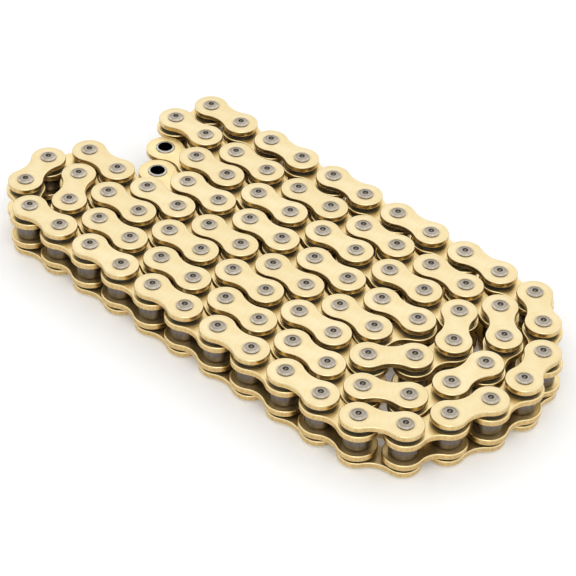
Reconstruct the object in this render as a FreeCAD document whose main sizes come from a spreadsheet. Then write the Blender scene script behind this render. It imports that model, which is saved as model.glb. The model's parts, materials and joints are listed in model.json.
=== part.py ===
"""Motorcycle drive chain, 520 size, sealed-ring type, lying on its side in a folded lay.

Millimetres, +Z up.  The chain's pins stand upright, so the lower rivet heads rest on z = 0.
The origin is under the middle of the folded lay: x runs along the folds, y across them.
Both free ends are inner links with open bushes, ready for a connecting link.
"""
import FreeCAD, Part
import Sketcher
import math
import os
import re
from FreeCAD import Placement, Rotation, Vector

# Sketcher's numbers for the points of a curve, and for the sketch's own origin and axes.
START, END, CENTRE = 1, 2, 3
ORIGIN_POINT = (-1, 1)
X_AXIS, Y_AXIS = -1, -2
SLACK = 0.01        # mm, when edges are told apart by radius or height

# ---- driving dimensions -------------------------------------------------------------------
SIZES = {
    "pitch": 15.875,
    "inner_width": 6.35,            # between the inner plates
    "inner_plate_thick": 2.4,
    "inner_head_radius": 7.2,
    "inner_waist_width": 9.8,
    "outer_plate_thick": 2.2,
    "outer_head_radius": 6.5,
    "outer_waist_width": 8.9,
    "plate_edge_round": 0.45,
    "seal_gap": 1.45,               # between an inner plate and the outer plate beside it
    "seal_inner_radius": 3.75,
    "seal_outer_radius": 5.95,
    "seal_edge_bevel": 0.35,
    "bush_outer_radius": 3.63,
    "bush_bore_radius": 2.68,
    "bush_proud": 0.4,              # beyond each inner plate
    "bush_edge_bevel": 0.2,
    "roller_outer_radius": 5.08,
    "roller_bore_radius": 3.7,
    "roller_length": 6.05,
    "roller_edge_bevel": 0.35,
    "pin_radius": 2.62,
    "rivet_head_radius": 2.9,
    "rivet_rim_rise": 0.3,          # above the outer plate, as are the next three rises
    "rivet_step_radius": 2.45,
    "rivet_step_rise": 0.42,
    "rivet_crown_radius": 2.15,
    "rivet_crown_rise": 0.75,
    "rivet_head_rise": 0.9,
    "dimple_mouth_radius": 0.95,
    "dimple_throat_radius": 0.7,
    "dimple_cone_depth": 0.15,
    "dimple_depth": 0.45,
}

# ---- the lay: heading of the links in degrees from +X, and how many links keep it ------------
LAY = [
    (2, 1), (0, 8),                                         # row c, from open end A
    (-58, 1), (-107, 1), (-137, 1),                         # right-hand fold, third from outside
    (179.5, 9),                                             # row f
    (-56, 1),                                               # tight left-hand fold
    (-0.5, 9),                                              # row g
    (28, 1), (67, 1), (82, 1),                              # right-hand fold, second
    (105, 1), (133, 1), (178, 1),
    (180, 9),                                               # row b
    (75, 1),                                                # tight left-hand fold at the back
    (-0.5, 10),                                             # row a, the rearmost
    (-42, 1), (-53, 1), (-76, 1), (-97, 1),                 # outermost right-hand fold
    (-110, 1), (-116, 1), (-152, 1), (-177, 1),
    (179.5, 9),                                             # row h, the frontmost
    (143, 1), (105, 1), (62, 1), (-3, 1),                   # open left-hand fold
    (-0.5, 8),                                              # row e
    (59, 1),                                                # innermost right-hand fold
    (-178, 1), (179.5, 7),                                  # row d, to open end B
]

# Pins are counted along the chain from open end A.  The rollers of the frontmost run are
# reached from outside, so each of them is a node of its own that spins.
FRONT_ROLLERS = range(56, 76)

doc = FreeCAD.newDocument("drive_chain")
sheet = doc.addObject("Spreadsheet::Sheet", "sizes")
for row, (alias, value) in enumerate(SIZES.items(), start=1):
    sheet.set(f"A{row}", alias)
    sheet.set(f"B{row}", str(value))
    sheet.setAlias(f"B{row}", alias)
doc.recompute()


def cell(expression):
    """The same expression with every alias read from the sheet."""
    return re.sub("[a-z_]+", lambda word: f"<<sizes>>.{word[0]}", expression)


def number(expression):
    """What an expression in the sheet's aliases comes to."""
    return float(sheet.evalExpression(cell(expression)))


def plane(body, role):
    return next(f for f in body.Origin.OriginFeatures if f.Role == role)


def new_body(name):
    return doc.addObject("PartDesign::Body", name)


def new_sketch(body, name, role):
    sketch = body.newObject("Sketcher::SketchObject", name)
    sketch.AttachmentSupport = [(plane(body, role), "")]
    sketch.MapMode = "FlatFace"
    return sketch


def constrain(sketch, expression, *constraint):
    """Add a dimension to the sketch and bind it to the sheet."""
    index = sketch.addConstraint(Sketcher.Constraint(*constraint, number(expression)))
    sketch.setExpression(f"Constraints[{index}]", cell(expression))


def is_level(edge):
    return edge.BoundBox.ZLength < SLACK


# ---- plates -------------------------------------------------------------------------------
def plate_body(name, head, waist, thick, hole):
    """A figure-of-eight link plate: its first hole is at the origin, its second along +X."""
    body = new_body(name)
    sketch = new_sketch(body, name + "_outline", "XY_Plane")
    side = f"(pitch ^ 2 / 4 + {waist} ^ 2 / 4 - {head} ^ 2) / (2 * {head} - {waist})"
    pitch, radius, side_radius = number("pitch"), number(head), number(side)
    side_centre = number(waist) / 2 + side_radius
    lean = math.atan2(side_centre, pitch / 2)

    def arc(x, y, r, first, last):
        circle = Part.Circle(Vector(x, y, 0), Vector(0, 0, 1), r)
        return sketch.addGeometry(Part.ArcOfCircle(circle, first, last))

    left = arc(0, 0, radius, lean, 2 * math.pi - lean)
    right = arc(pitch, 0, radius, lean - math.pi, math.pi - lean)
    upper = arc(pitch / 2, side_centre, side_radius, lean + math.pi, 2 * math.pi - lean)
    lower = arc(pitch / 2, -side_centre, side_radius, lean, math.pi - lean)
    joins = [
        (left, START, upper, START),
        (upper, END, right, END),
        (right, START, lower, START),
        (lower, END, left, END),
    ]
    for join in joins:
        sketch.addConstraint(Sketcher.Constraint("Tangent", *join))
    sketch.addConstraint(Sketcher.Constraint("Coincident", left, CENTRE, *ORIGIN_POINT))
    sketch.addConstraint(Sketcher.Constraint("PointOnObject", right, CENTRE, X_AXIS))
    sketch.addConstraint(Sketcher.Constraint("Equal", left, right))
    sketch.addConstraint(Sketcher.Constraint("Equal", upper, lower))
    constrain(sketch, "pitch", "DistanceX", left, CENTRE, right, CENTRE)
    constrain(sketch, head, "Radius", left)
    constrain(sketch, side, "Radius", upper)
    for end in (left, right):
        centre = sketch.Geometry[end].Center
        bore = sketch.addGeometry(Part.Circle(centre, Vector(0, 0, 1), number(hole)))
        sketch.addConstraint(Sketcher.Constraint("Coincident", bore, CENTRE, end, CENTRE))
        constrain(sketch, hole, "Radius", bore)

    pad = body.newObject("PartDesign::Pad", name + "_blank")
    pad.Profile = sketch
    pad.setExpression("Length", cell(thick))
    doc.recompute()
    edges = []
    for index, edge in enumerate(pad.Shape.Edges, start=1):
        if is_level(edge) and edge.Curve.Radius > number(hole) + SLACK:
            edges.append(f"Edge{index}")
    tumble = body.newObject("PartDesign::Fillet", name + "_edges")
    tumble.Base = (pad, edges)
    tumble.setExpression("Radius", cell("plate_edge_round"))
    body.Tip = tumble
    return body


# ---- rings: bush, roller and seal ------------------------------------------------------------
def ring_body(name, outer, inner, length, bevel):
    """A ring about Z with bevelled outer rims, half its length above the origin and half below."""
    body = new_body(name)
    sketch = new_sketch(body, name + "_section", "XY_Plane")
    for alias in (outer, inner):
        circle = sketch.addGeometry(Part.Circle(Vector(0, 0, 0), Vector(0, 0, 1), number(alias)))
        sketch.addConstraint(Sketcher.Constraint("Coincident", circle, CENTRE, *ORIGIN_POINT))
        constrain(sketch, alias, "Radius", circle)
    pad = body.newObject("PartDesign::Pad", name + "_blank")
    pad.Profile = sketch
    pad.Midplane = True
    pad.setExpression("Length", cell(length))
    doc.recompute()
    rims = []
    for index, rim in enumerate(pad.Shape.Edges, start=1):
        if is_level(rim) and rim.Curve.Radius > number(outer) - SLACK:
            rims.append(f"Edge{index}")
    bevels = body.newObject("PartDesign::Chamfer", name + "_bevels")
    bevels.Base = (pad, rims)
    bevels.setExpression("Size", cell(bevel))
    body.Tip = bevels
    return body


# ---- riveted pin ------------------------------------------------------------------------------
PLATE_FACE = "inner_width / 2 + inner_plate_thick + seal_gap + outer_plate_thick"
TIP = PLATE_FACE + " + rivet_head_rise"

# Radius and height of each corner of the pin's upper half, from its middle round to its axis.
PIN_OUTLINE = [
    ("0", "0"),
    ("pin_radius", "0"),
    ("pin_radius", PLATE_FACE),
    ("rivet_head_radius", PLATE_FACE),
    ("rivet_head_radius", PLATE_FACE + " + rivet_rim_rise"),
    ("rivet_step_radius", PLATE_FACE + " + rivet_step_rise"),
    ("rivet_crown_radius", PLATE_FACE + " + rivet_crown_rise"),
    ("dimple_mouth_radius", TIP),
    ("dimple_throat_radius", TIP + " - dimple_cone_depth"),
    ("dimple_throat_radius", TIP + " - dimple_depth"),
    ("0", TIP + " - dimple_depth"),
]


def pin_body(name):
    """A pin about Z with a riveted, centre-dimpled head at each end, and its middle at the origin."""
    body = new_body(name)
    sketch = new_sketch(body, name + "_half_section", "XZ_Plane")
    corners = [Vector(number(radius), number(height), 0) for radius, height in PIN_OUTLINE]
    lines = []
    for first, last in zip(corners, corners[1:] + corners[:1]):
        lines.append(sketch.addGeometry(Part.LineSegment(first, last)))
    for first, last in zip(lines, lines[1:] + lines[:1]):
        sketch.addConstraint(Sketcher.Constraint("Coincident", first, END, last, START))
    for line, (radius, height) in zip(lines, PIN_OUTLINE):
        if radius == "0":
            sketch.addConstraint(Sketcher.Constraint("PointOnObject", line, START, Y_AXIS))
        else:
            constrain(sketch, radius, "DistanceX", *ORIGIN_POINT, line, START)
        if height == "0":
            sketch.addConstraint(Sketcher.Constraint("PointOnObject", line, START, X_AXIS))
        else:
            constrain(sketch, height, "DistanceY", *ORIGIN_POINT, line, START)
    turned = body.newObject("PartDesign::Revolution", name + "_upper_half")
    turned.Profile = sketch
    turned.ReferenceAxis = (sketch, ["V_Axis"])
    turned.Angle = 360
    doc.recompute()
    both = body.newObject("PartDesign::Mirrored", name + "_lower_half")
    both.Originals = [turned]
    both.MirrorPlane = (plane(body, "XY_Plane"), [""])
    body.Tip = both
    return body


outer_plate = plate_body(
    "outer_plate", "outer_head_radius", "outer_waist_width", "outer_plate_thick", "pin_radius"
)
inner_plate = plate_body(
    "inner_plate", "inner_head_radius", "inner_waist_width", "inner_plate_thick",
    "bush_outer_radius",
)
bush = ring_body(
    "bush", "bush_outer_radius", "bush_bore_radius",
    "inner_width + 2 * inner_plate_thick + 2 * bush_proud", "bush_edge_bevel",
)
roller = ring_body(
    "roller", "roller_outer_radius", "roller_bore_radius", "roller_length", "roller_edge_bevel"
)
seal_ring = ring_body(
    "seal_ring", "seal_outer_radius", "seal_inner_radius", "seal_gap", "seal_edge_bevel"
)
pin = pin_body("riveted_pin")
doc.recompute()

# ---- where everything lies --------------------------------------------------------------------
headings = [heading for heading, links in LAY for _ in range(links)]
points = [Vector(0, 0, 0)]
for heading in headings:
    turn = math.radians(heading)
    points.append(points[-1] + Vector(math.cos(turn), math.sin(turn), 0) * number("pitch"))
middle = Vector(
    (min(p.x for p in points) + max(p.x for p in points)) / 2,
    (min(p.y for p in points) + max(p.y for p in points)) / 2,
    0,
)
points = [point - middle for point in points]

# Heights above the chain's mid-plane: the upper plates' lower faces, and the upper seals' middles.
inner_plate_level = number("inner_width / 2")
seal_level = number("inner_width / 2 + inner_plate_thick + seal_gap / 2")
outer_plate_level = number("inner_width / 2 + inner_plate_thick + seal_gap")
mid_plane = number(TIP)

ends = range(len(points))
pins = ends[1:-1]
inner_links = range(0, len(headings), 2)
outer_links = range(1, len(headings), 2)
end_links = {"end_a": (0, 0, 1), "end_b": (len(headings) - 1, len(headings), len(headings) - 1)}


def at(point, height, heading=0.0):
    return Placement(point + Vector(0, 0, mid_plane + height), Rotation(Vector(0, 0, 1), heading))


def plates(links, level, thick):
    """Placements of the upper and of the lower plates of some links."""
    upper = [at(points[k], level, headings[k]) for k in links]
    lower = [at(points[k], -level - thick, headings[k]) for k in links]
    return upper, lower


def upright(numbers, height=0.0):
    return [at(points[k], height) for k in numbers]


def sub_part(name, pattern, placements):
    """One sub-part: copies of a pattern body at the given places, each a solid of its own."""
    copies = doc.addObject("App::Link", name + "_copies")
    copies.LinkedObject = pattern
    copies.ShowElement = False
    copies.ElementCount = len(placements)
    copies.PlacementList = placements
    group = doc.addObject("Part::Compound", name)
    group.Label = name
    group.Links = [copies]
    return group


sub_parts = []


def add(name, pattern, placements):
    sub_parts.append(sub_part(name, pattern, placements))


laid_inner = [k for k in inner_links if k not in (0, len(headings) - 1)]
laid_bushes = list(ends[2:-2])
outer_top, outer_bottom = plates(outer_links, outer_plate_level, number("outer_plate_thick"))
inner_top, inner_bottom = plates(laid_inner, inner_plate_level, number("inner_plate_thick"))

add("outer_plates_top", outer_plate, outer_top)
add("outer_plates_bottom", outer_plate, outer_bottom)
add("inner_plates_top", inner_plate, inner_top)
add("inner_plates_bottom", inner_plate, inner_bottom)
add("riveted_pins", pin, upright(pins))
add("bushes", bush, upright(laid_bushes))
add("rollers", roller, upright([k for k in laid_bushes if k not in FRONT_ROLLERS]))
add("seal_rings_top", seal_ring, upright(pins, seal_level))
add("seal_rings_bottom", seal_ring, upright(pins, -seal_level))

for count, k in enumerate(FRONT_ROLLERS, start=1):
    add(f"front_roller_{count:02d}", roller, upright([k]))

for name, (link, open_bore, hinge) in end_links.items():
    top, bottom = plates([link], inner_plate_level, number("inner_plate_thick"))
    add(name + "_inner_plate_top", inner_plate, top)
    add(name + "_inner_plate_bottom", inner_plate, bottom)
    add(name + "_open_bush", bush, upright([open_bore]))
    add(name + "_hinge_bush", bush, upright([hinge]))
    add(name + "_open_roller", roller, upright([open_bore]))
    add(name + "_hinge_roller", roller, upright([hinge]))

doc.recompute()

# ---- checks, then the files ---------------------------------------------------------------------
for item in doc.Objects:
    if "Invalid" in item.State or "Error" in item.State:
        raise RuntimeError(f"{item.Label} failed: {item.State}")
for piece in sub_parts:
    if piece.Shape.isNull() or not piece.Shape.isValid():
        raise RuntimeError(f"{piece.Label} has no valid shape")

os.makedirs("parts", exist_ok=True)
for piece in sub_parts:
    piece.Shape.exportStep(f"parts/{piece.Label}.step")
    print(piece.Label, len(piece.Shape.Solids), "solids", round(piece.Shape.Volume, 1), "mm3")
box = Part.makeCompound([piece.Shape for piece in sub_parts]).BoundBox
print("box", box)
for name, (link, open_bore, hinge) in end_links.items():
    print(name, "open bore", points[open_bore], "hinge", points[hinge])
for count, k in enumerate(FRONT_ROLLERS, start=1):
    print(f"front_roller_{count:02d}", points[k])
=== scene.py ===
"""The folded drive chain: plated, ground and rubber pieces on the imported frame, on a pale floor."""

import json
import math

import bmesh
import bpy
import numpy as np
from mathutils import Matrix, Vector


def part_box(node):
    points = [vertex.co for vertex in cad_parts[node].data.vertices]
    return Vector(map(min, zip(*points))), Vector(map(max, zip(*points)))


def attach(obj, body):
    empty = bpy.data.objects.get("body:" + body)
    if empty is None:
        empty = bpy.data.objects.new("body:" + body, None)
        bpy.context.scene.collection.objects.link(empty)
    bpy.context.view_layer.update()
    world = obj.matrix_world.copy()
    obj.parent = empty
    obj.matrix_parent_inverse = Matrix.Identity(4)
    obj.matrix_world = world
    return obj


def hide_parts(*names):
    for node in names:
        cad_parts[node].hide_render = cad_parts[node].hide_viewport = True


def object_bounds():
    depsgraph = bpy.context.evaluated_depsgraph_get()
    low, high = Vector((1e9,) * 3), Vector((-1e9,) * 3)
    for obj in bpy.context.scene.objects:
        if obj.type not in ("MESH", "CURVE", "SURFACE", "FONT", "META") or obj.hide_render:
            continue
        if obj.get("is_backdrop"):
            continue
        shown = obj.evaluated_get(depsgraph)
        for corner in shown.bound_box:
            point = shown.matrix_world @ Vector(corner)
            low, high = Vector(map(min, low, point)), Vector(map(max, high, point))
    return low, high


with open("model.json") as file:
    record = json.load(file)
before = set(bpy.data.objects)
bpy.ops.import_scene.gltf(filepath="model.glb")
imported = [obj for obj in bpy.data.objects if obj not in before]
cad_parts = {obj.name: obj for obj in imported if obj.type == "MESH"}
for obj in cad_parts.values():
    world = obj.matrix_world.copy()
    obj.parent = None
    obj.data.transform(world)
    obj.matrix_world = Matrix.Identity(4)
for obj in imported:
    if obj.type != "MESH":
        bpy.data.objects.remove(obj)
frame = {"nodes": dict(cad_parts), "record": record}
cad_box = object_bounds()

# ---- sizes, in metres -------------------------------------------------------------------------
MM = 0.001
PITCH = 15.875 * MM                                 # between neighbouring pins
RIVET_CROWN, DIMPLE = 2.15 * MM, 0.95 * MM          # radii on the rivet heads
COIN_OUTER, COIN_INNER = 5.5 * MM, 6.3 * MM         # radii of the fine ring pressed round each hole
BORE_MOUNT = next(mount for mount in frame["record"]["mounts"] if mount["name"] == "end_a_bore")
BUSH_BORE = BORE_MOUNT["dims"]["r_mm"] * MM         # radius
CHAIN_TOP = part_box("riveted_pins")[1][2]
WELD = 1e-7                                         # vertices closer than this are one vertex
LOCAL = "local"                                     # the attribute with each solid's own coordinates


# ---- pieces -----------------------------------------------------------------------------------
def solids_of(mesh):
    """The separate solids of a mesh, each as a list of its vertices, in the same order on every run."""
    left = dict.fromkeys(mesh.verts)
    while left:
        first = next(iter(left))
        del left[first]
        solid, to_visit = [], [first]
        while to_visit:
            vertex = to_visit.pop()
            solid.append(vertex)
            for edge in vertex.link_edges:
                other = edge.other_vert(vertex)
                if other in left:
                    del left[other]
                    to_visit.append(other)
        yield solid


def long_axis(points):
    """Unit vector along a plate, seen from above, that points backwards or to the left on every run."""
    spread = np.cov((points[:, :2] - points[:, :2].mean(0)).T)
    _, vectors = np.linalg.eigh(spread)
    axis = vectors[:, -1]
    return axis if axis[1] > axis[0] else -axis


def local_frame(points, is_plate):
    """Positions from a solid's centre: along it, across it and up."""
    along = long_axis(points) if is_plate else np.array([1.0, 0.0])
    across = np.array([-along[1], along[0]])
    local = np.column_stack([points[:, :2] @ along, points[:, :2] @ across, points[:, 2]])
    return local - (local.min(0) + local.max(0)) / 2


def finished_piece(node_name, body, slot, material, crease_degrees):
    """A piece with the shape of a CAD node, welded and smooth, that knows each solid's own axes."""
    mesh = bmesh.new()
    mesh.from_mesh(frame["nodes"][node_name].data)
    bmesh.ops.remove_doubles(mesh, verts=mesh.verts, dist=WELD)
    layer = mesh.verts.layers.float_vector.new(LOCAL)
    is_plate = "plate" in node_name
    for solid in solids_of(mesh):
        points = np.array([vertex.co for vertex in solid])
        for vertex, place in zip(solid, local_frame(points, is_plate)):
            vertex[layer] = place
    data = bpy.data.meshes.new(node_name + "_mesh")
    mesh.to_mesh(data)
    mesh.free()
    data.shade_smooth()
    data.set_sharp_from_angle(angle=math.radians(crease_degrees))
    data.materials.clear()
    data.materials.append(material)
    piece = bpy.data.objects.new(node_name + "_finished", data)
    bpy.context.scene.collection.objects.link(piece)
    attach(piece, body)
    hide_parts(node_name)


# ---- what the finishes are made of ------------------------------------------------------------
MIX_INPUTS, MIX_RESULT = (0, 6, 7), 2               # the Mix node's sockets for its amount and colours


class Finish:
    """A material's node tree. Ranges and limits are pairs: where it starts, where it ends."""

    def __init__(self, name):
        self.material = bpy.data.materials.new(name)
        self.material.use_nodes = True
        self.tree = self.material.node_tree
        self.surface = self.tree.nodes["Principled BSDF"]

    def node(self, kind, inputs=(), **settings):
        """A new node with its settings and inputs; an input is a value or another node's output."""
        made = self.tree.nodes.new(kind)
        for key, value in settings.items():
            setattr(made, key, value)
        for key, value in dict(inputs).items():
            self.feed(value, made.inputs[key])
        return made

    def feed(self, value, socket):
        """Links an output to a socket, or sets a plain value or colour on it."""
        if isinstance(value, bpy.types.NodeSocket):
            self.tree.links.new(value, socket)
        elif isinstance(value, tuple) and len(value) == 3 and socket.type == "RGBA":
            socket.default_value = (*value, 1.0)
        else:
            socket.default_value = value

    # places
    def local(self):
        """Each solid's own coordinates: along it, across it and up from its centre."""
        return self.node("ShaderNodeAttribute", attribute_name=LOCAL).outputs["Vector"]

    def on_object(self):
        """The node's own coordinates."""
        return self.node("ShaderNodeTexCoord").outputs["Object"]

    def split(self, vector):
        return self.node("ShaderNodeSeparateXYZ", {"Vector": vector}).outputs

    def facing_up(self):
        """0 on a side wall, 1 on a flat upper or lower face."""
        normal = self.node("ShaderNodeNewGeometry").outputs["Normal"]
        return self.math("ABSOLUTE", self.split(normal)["Z"])

    def per_solid(self):
        """A number from 0 to 1 of each solid's own."""
        return self.node("ShaderNodeNewGeometry").outputs["Random Per Island"]

    # arithmetic
    def math(self, operation, *values):
        made = self.node("ShaderNodeMath", operation=operation)
        for socket, value in zip(made.inputs, values):
            self.feed(value, socket)
        return made.outputs[0]

    def length(self, x, y):
        squares = [self.math("MULTIPLY", side, side) for side in (x, y)]
        return self.math("SQRT", self.math("ADD", *squares))

    def radius(self, vector):
        """Distance from the upright axis of a solid."""
        x, y, _ = self.split(vector)
        return self.length(x, y)

    def off_circle(self, radius, circle_radius):
        """Distance, inwards or outwards, from a circle round the axis."""
        return self.math("ABSOLUTE", self.math("SUBTRACT", radius, circle_radius))

    def ramp(self, value, between, out=(0.0, 1.0)):
        """Rises smoothly through the out range as value goes through the between range."""
        inputs = {"Value": value, "From Min": between[0], "From Max": between[1]}
        inputs.update({"To Min": out[0], "To Max": out[1]})
        made = self.node("ShaderNodeMapRange", inputs, interpolation_type="SMOOTHSTEP")
        return made.outputs["Result"]

    # patterns
    def noise(self, vector, size, detail=3.0, stretch=(1.0, 1.0, 1.0)):
        """Noise from 0 to 1 whose spots are about size metres across, longer where stretch is under 1."""
        scaled_place = self.node("ShaderNodeMapping", {"Vector": vector, "Scale": stretch})
        inputs = {"Vector": scaled_place.outputs["Vector"], "Scale": 1.0 / size, "Detail": detail}
        return self.node("ShaderNodeTexNoise", inputs).outputs["Fac"]

    def tool_marks(self, radius, spacing):
        """The fine rings that turning or grinding leaves: a wave from -1 to 1 along the radius."""
        return self.math("SINE", self.math("MULTIPLY", radius, 2 * math.pi / spacing))

    # colour and relief
    def mix(self, amount, first, second):
        made = self.node("ShaderNodeMix", data_type="RGBA")
        for value, socket in zip((amount, first, second), MIX_INPUTS):
            self.feed(value, made.inputs[socket])
        return made.outputs[MIX_RESULT]

    def layer(self, under, over, where, between, strength=1.0):
        """Colour over laid on under, up to strength, as where goes through the between range."""
        return self.mix(self.ramp(where, between, (0.0, strength)), under, over)

    def bump(self, height, depth, strength, under=None):
        """Relief depth metres deep, on top of the relief under it."""
        inputs = {"Height": height, "Distance": depth, "Strength": strength}
        if under is not None:
            inputs["Normal"] = under
        return self.node("ShaderNodeBump", inputs).outputs["Normal"]

    def finish(self, colour, roughness, normal=None, **plain):
        """Puts it all on the surface; plain values are set on their own sockets."""
        self.feed(colour, self.surface.inputs["Base Color"])
        self.feed(roughness, self.surface.inputs["Roughness"])
        if normal is not None:
            self.feed(normal, self.surface.inputs["Normal"])
        for key, value in plain.items():
            self.surface.inputs[key.replace("_", " ")].default_value = value
        return self.material


def scaled(colour, *factors):
    """A colour with each channel multiplied; one factor serves all three."""
    factors = factors * 3 if len(factors) == 1 else factors
    return tuple(channel * factor for channel, factor in zip(colour, factors))


# ---- finishes ---------------------------------------------------------------------------------
ALONG_PLATE = (0.3, 1.0, 1.0)                       # stretches of marks that run one way
DOWN_WALL, DOWN_ROLLER, DOWN_BUSH = (1.0, 1.0, 0.35), (1.0, 1.0, 0.3), (1.0, 1.0, 0.2)
# the colour of painted shade in the rivets' dimples and in the corners under their rims
RECESS_SHADE = (0.03, 0.027, 0.023)
# the colour of painted shade inside the bush bores
BORE_SHADE = (0.010, 0.008, 0.007)


def gold_plate(name, flat, side, coin_radius):
    """Gold-plated pressed steel: pale flats, bright tumbled edges that also carry a painted highlight,
    deeper sheared sides that are partly painted shade, and painted contact shade with film and grime round
    each pin.
    """
    duller_plate = scaled(flat, 0.95, 0.93, 0.88)
    tarnish = scaled(flat, 0.98, 0.92, 0.78)
    scratch = scaled(flat, 0.7)
    # film and grime round each pin are partly painted contact shade where the head meets the plate
    film_and_contact_shade = scaled(side, 0.7)
    grime_and_contact_shade = scaled(side, 0.5)
    shear = scaled(side, 0.80, 0.76, 0.70)
    # brighter rounded edges: partly wear, partly a painted highlight
    worn_and_highlit_edge = scaled(flat, 1.07, 1.04, 0.96)

    look = Finish(name)
    local = look.local()
    x, y, _ = look.split(local)
    past_pin = look.math("SUBTRACT", look.math("ABSOLUTE", x), PITCH / 2)
    from_pin = look.length(past_pin, y)
    up = look.facing_up()
    flatness = look.ramp(up, between=(0.90, 0.999))
    wall = look.ramp(up, between=(0.35, 0.10))
    edge = look.math("SUBTRACT", look.math("SUBTRACT", 1.0, flatness), wall)
    cloud = look.noise(local, size=5 * MM, detail=4.0)
    grain = look.noise(local, size=0.4 * MM, detail=4.0, stretch=ALONG_PLATE)
    sheared = look.noise(local, size=1.0 * MM, stretch=DOWN_WALL)
    off_coin = look.off_circle(from_pin, coin_radius)
    groove = look.math("MULTIPLY", look.ramp(off_coin, between=(0.30 * MM, 0.04 * MM)), flatness)
    groove_tint = look.math("MULTIPLY", groove, 0.30)

    tone = look.mix(look.per_solid(), duller_plate, flat)
    tone = look.layer(tone, tarnish, where=cloud, between=(0.40, 0.70), strength=0.60)
    tone = look.layer(tone, scratch, where=grain, between=(0.35, 0.65), strength=0.10)
    # painted contact shade with film and grime, in two rings round each rivet head
    tone = look.layer(tone, film_and_contact_shade, where=from_pin, between=(4.3 * MM, 3.0 * MM), strength=0.25)
    tone = look.layer(tone, grime_and_contact_shade, where=from_pin, between=(3.4 * MM, 2.9 * MM), strength=0.60)
    tone = look.mix(groove_tint, tone, side)
    # the walls take the deeper side colour: partly the sheared faces' own colour, partly painted shade
    wall_tone = look.layer(side, shear, where=sheared, between=(0.3, 0.7))
    # the rounded edges take the brighter colour: wear and a painted highlight
    colour = look.mix(flatness, worn_and_highlit_edge, tone)
    colour = look.mix(wall, colour, wall_tone)

    rough_flat = look.ramp(cloud, between=(0.3, 0.7), out=(0.30, 0.40))
    edge_polish = look.math("MULTIPLY", edge, 0.12)
    roughness = look.math("SUBTRACT", rough_flat, edge_polish)
    relief = look.bump(grain, depth=0.012 * MM, strength=0.3)
    outside_groove = look.math("SUBTRACT", 1.0, groove)
    relief = look.bump(outside_groove, depth=0.03 * MM, strength=0.6, under=relief)
    return look.finish(colour, roughness, relief, Metallic=1.0)


def rivet_steel(name, bright, dark):
    """Turned pin steel: a crown painted darker as painted shade, a rim left bright as a painted highlight,
    and painted shade in the centre dimple and in the corner under the rim.
    """
    look = Finish(name)
    local = look.local()
    radius = look.radius(local)
    smear = look.noise(local, size=1.4 * MM)
    fleck = look.noise(local, size=0.3 * MM, detail=4.0)
    off_mouth = look.off_circle(radius, DIMPLE * 0.92)      # painted shade gathers just inside the dimple's mouth
    dimple_shade = look.ramp(off_mouth, between=(0.32 * MM, 0.10 * MM), out=(0.0, 0.92))
    # painted shadow on the upright faces in the corner under the rim
    corner_shade = look.ramp(look.facing_up(), between=(0.35, 0.05), out=(0.0, 0.70))
    recess_shade = look.math("MAXIMUM", dimple_shade, corner_shade)
    darker_pins = look.math("MULTIPLY", look.per_solid(), 0.25)

    crown_edge = (RIVET_CROWN * 1.12, RIVET_CROWN * 0.90)
    dimple_floor = (DIMPLE * 0.8, DIMPLE * 0.7)
    # the crown painted darker as painted shade; the rim round it keeps the bright colour as a painted
    # highlight
    tone = look.layer(bright, dark, where=radius, between=crown_edge, strength=0.75)
    tone = look.layer(tone, scaled(dark, 0.9), where=smear, between=(0.35, 0.75), strength=0.45)
    tone = look.layer(tone, dark, where=fleck, between=(0.5, 0.75), strength=0.25)
    tone = look.mix(darker_pins, tone, dark)
    # the dimple's floor painted darker: painted shade
    tone = look.layer(tone, scaled(dark, 0.25), where=radius, between=dimple_floor, strength=0.45)
    # painted shade in the dimple and under the rim, in one dark colour
    colour = look.mix(recess_shade, tone, RECESS_SHADE)

    shine = look.ramp(smear, between=(0.3, 0.7), out=(0.17, 0.28))
    roughness = look.math("ADD", shine, look.math("MULTIPLY", recess_shade, 0.25))
    rings = look.tool_marks(radius, spacing=0.16 * MM)
    return look.finish(colour, roughness, look.bump(rings, depth=0.006 * MM, strength=0.25), Metallic=1.0)


def bush_finish(name, bright, dark):
    """Ground bush steel with worn, bright ends and painted shade inside the bore."""
    look = Finish(name)
    local = look.local()
    radius = look.radius(local)
    streaks = look.noise(local, size=0.8 * MM, detail=4.0, stretch=DOWN_BUSH)
    tone = look.layer(dark, bright, where=streaks, between=(0.3, 0.7))
    # grease here is painted shade that darkens the bore
    grease = look.ramp(radius, between=(BUSH_BORE + 0.16 * MM, BUSH_BORE + 0.05 * MM))
    colour = look.mix(grease, tone, BORE_SHADE)
    shine = look.ramp(streaks, between=(0.3, 0.7), out=(0.20, 0.34))
    roughness = look.math("ADD", shine, look.math("MULTIPLY", grease, 0.3))
    rings = look.tool_marks(radius, spacing=0.13 * MM)
    return look.finish(colour, roughness, look.bump(rings, depth=0.006 * MM, strength=0.25), Metallic=1.0)


def hardened_steel(name, bright, dark):
    """Dark hardened roller steel with upright streaks and duller patches."""
    look = Finish(name)
    place = look.on_object()
    streaks = look.noise(place, size=0.8 * MM, detail=4.0, stretch=DOWN_ROLLER)
    patches = look.noise(place, size=4 * MM)
    tone = look.layer(dark, bright, where=streaks, between=(0.3, 0.7))
    colour = look.layer(tone, dark, where=patches, between=(0.4, 0.7), strength=0.5)
    roughness = look.ramp(streaks, between=(0.3, 0.7), out=(0.30, 0.40))
    return look.finish(colour, roughness, look.bump(streaks, depth=0.015 * MM, strength=0.3), Metallic=1.0)


def rubber(name, black, dusty):
    """Black seal rubber with a thin film of grease."""
    look = Finish(name)
    place = look.on_object()
    dust = look.noise(place, size=1.5 * MM, detail=5.0)
    grease = look.noise(place, size=3 * MM)
    colour = look.layer(black, dusty, where=dust, between=(0.45, 0.8))
    roughness = look.ramp(grease, between=(0.35, 0.65), out=(0.32, 0.62))
    return look.finish(colour, roughness, look.bump(dust, depth=0.02 * MM, strength=0.3))


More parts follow.
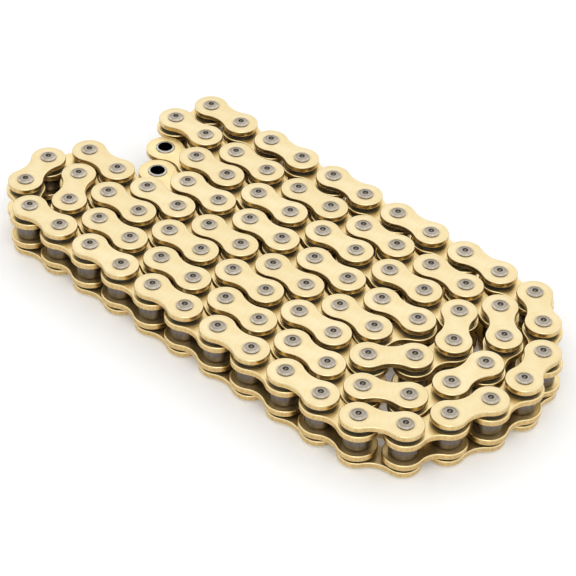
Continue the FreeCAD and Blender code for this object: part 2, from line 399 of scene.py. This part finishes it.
# the second colour is the walls' deeper gold, darkened partly as painted shade
outer_gold = gold_plate("outer_plate_gold", (0.87, 0.745, 0.47), (0.76, 0.56, 0.26), COIN_OUTER)
inner_gold = gold_plate("inner_plate_gold", (0.93, 0.775, 0.44), (0.74, 0.53, 0.24), COIN_INNER)
pin_steel = rivet_steel("pin_steel", (0.75, 0.67, 0.555), (0.31, 0.268, 0.215))
bush_steel = bush_finish("bush_steel", (0.70, 0.67, 0.62), (0.42, 0.39, 0.35))
roller_steel = hardened_steel("roller_steel", (0.20, 0.17, 0.15), (0.13, 0.11, 0.095))
seal_rubber = rubber("seal_rubber", (0.006, 0.005, 0.005), (0.022, 0.019, 0.016))

# A word in a node's name, its finish, and the angle in degrees over which an edge stays sharp.
FINISHES = (
    ("outer_plate", outer_gold, 40),
    ("inner_plate", inner_gold, 40),
    ("pins", pin_steel, 28),
    ("bush", bush_steel, 40),
    ("roller", roller_steel, 40),
    ("seal_ring", seal_rubber, 40),
)

# ---- every node, finished ---------------------------------------------------------------------
slot_of = {part["node"]: part["material_slot"] for part in frame["record"]["subparts"]}
for body, node_names in frame["record"]["behaviour"]["bodies"].items():
    for node_name in node_names:
        material, crease = next((finish, angle) for word, finish, angle in FINISHES if word in node_name)
        finished_piece(node_name, body, slot_of[node_name], material, crease)

# ---- studio -----------------------------------------------------------------------------------
FLOOR_REACH = 6.0
PAPER, PALE_FIBRE = (0.93, 0.93, 0.93), (0.95, 0.95, 0.95)
SKY_STRENGTH = 0.97
SKY = ((0.0, 0.55), (0.25, 0.75), (0.55, 1.0), (1.0, 0.9))  # height, from level to straight up; brightness
SOFT_BOXES = {
    "key": {"place": (-0.55, 0.75, 1.0), "size": (1.4, 1.0), "watts": 1.4, "colour": (1.0, 0.985, 0.96)},
    "front": {"place": (0.55, -0.62, 1.05), "size": (0.7, 0.7), "watts": 1.8, "colour": (1.0, 0.99, 0.97)},
    "overhead": {"place": (0.1, -0.1, 1.3), "size": (1.1, 1.1), "watts": 0.8, "colour": (1.0, 1.0, 1.0)},
}


def floor():
    """A sheet of white paper that glows a little, so that shadows on it stay pale."""
    data = bpy.data.meshes.new("floor_mesh")
    corners = [(-1, -1), (1, -1), (1, 1), (-1, 1)]
    data.from_pydata([(x * FLOOR_REACH, y * FLOOR_REACH, 0.0) for x, y in corners], [], [(0, 1, 2, 3)])
    paint = Finish("floor_paper")
    fibre = paint.noise(paint.on_object(), size=2 * MM, detail=2.0)
    shade = paint.mix(fibre, PAPER, PALE_FIBRE)
    glow = {"Emission_Color": (1.0, 1.0, 1.0, 1.0), "Emission_Strength": 0.12}
    data.materials.append(paint.finish(shade, roughness=0.85, **glow))
    piece = bpy.data.objects.new("floor", data)
    bpy.context.scene.collection.objects.link(piece)
    piece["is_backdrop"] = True


def soft_box(name, place, size, watts, colour):
    """A rectangular area light that points at the origin, below the middle of the chain."""
    light = bpy.data.lights.new(name, "AREA")
    light.shape = "RECTANGLE"
    light.size, light.size_y = size
    light.energy = watts
    light.color = colour
    lamp = bpy.data.objects.new(name, light)
    lamp.location = place
    lamp.rotation_euler = (-Vector(place)).to_track_quat("-Z", "Y").to_euler()
    bpy.context.scene.collection.objects.link(lamp)


def studio_air():
    """A pale surround, brightest halfway up, so that the metal has something to mirror."""
    world = bpy.data.worlds.new("studio")
    bpy.context.scene.world = world
    world.use_nodes = True
    tree = world.node_tree
    background = tree.nodes["Background"]
    background.inputs["Strength"].default_value = SKY_STRENGTH
    direction = tree.nodes.new("ShaderNodeTexCoord")
    split = tree.nodes.new("ShaderNodeSeparateXYZ")
    ramp = tree.nodes.new("ShaderNodeValToRGB")
    tree.links.new(direction.outputs["Generated"], split.inputs["Vector"])
    tree.links.new(split.outputs["Z"], ramp.inputs["Fac"])
    tree.links.new(ramp.outputs["Color"], background.inputs["Color"])
    stops = ramp.color_ramp.elements
    while len(stops) < len(SKY):
        stops.new(0.5)                              # between the first and the last, until it is moved
    for stop, (height, brightness) in zip(stops, SKY):
        stop.position = height
        stop.color = (brightness, brightness, brightness, 1.0)


floor()
studio_air()
for name, settings in SOFT_BOXES.items():
    soft_box(name, **settings)

# ---- camera: off the chain's front right corner, looking down on it, and rolled a little --------
AZIMUTH, ELEVATION, ROLL = math.radians(40.7), math.radians(39.8), math.radians(2.5)
DISTANCE = 0.7846                                   # to where the view's centre meets the pin tops
LOOK_AT = Vector((0.0141, -0.0149, CHAIN_TOP))
CLIP_END = 50.0
SENSOR, FOCAL = 36.0, 140.4                         # mm


def place_camera():
    """The camera that the main view is taken with."""
    forward = Vector((-math.sin(AZIMUTH) * math.cos(ELEVATION), math.cos(AZIMUTH) * math.cos(ELEVATION),
                      -math.sin(ELEVATION)))
    level = Vector((math.cos(AZIMUTH), math.sin(AZIMUTH), 0.0))
    upright = level.cross(forward)
    right = level * math.cos(ROLL) + upright * math.sin(ROLL)
    up = upright * math.cos(ROLL) - level * math.sin(ROLL)
    axes = Matrix((right, up, -forward)).transposed().to_4x4()
    lens = bpy.data.cameras.new("camera")
    lens.sensor_width = SENSOR
    lens.lens = FOCAL
    lens.clip_end = CLIP_END
    camera = bpy.data.objects.new("camera", lens)
    camera.matrix_world = Matrix.Translation(LOOK_AT - forward * DISTANCE) @ axes
    bpy.context.scene.collection.objects.link(camera)
    bpy.context.scene.camera = camera


place_camera()
bpy.context.scene.view_settings.view_transform = "Standard"

boxes = {"cad": cad_box, "visual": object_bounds()}
{name: [list(corner) for corner in box] for name, box in boxes.items()}
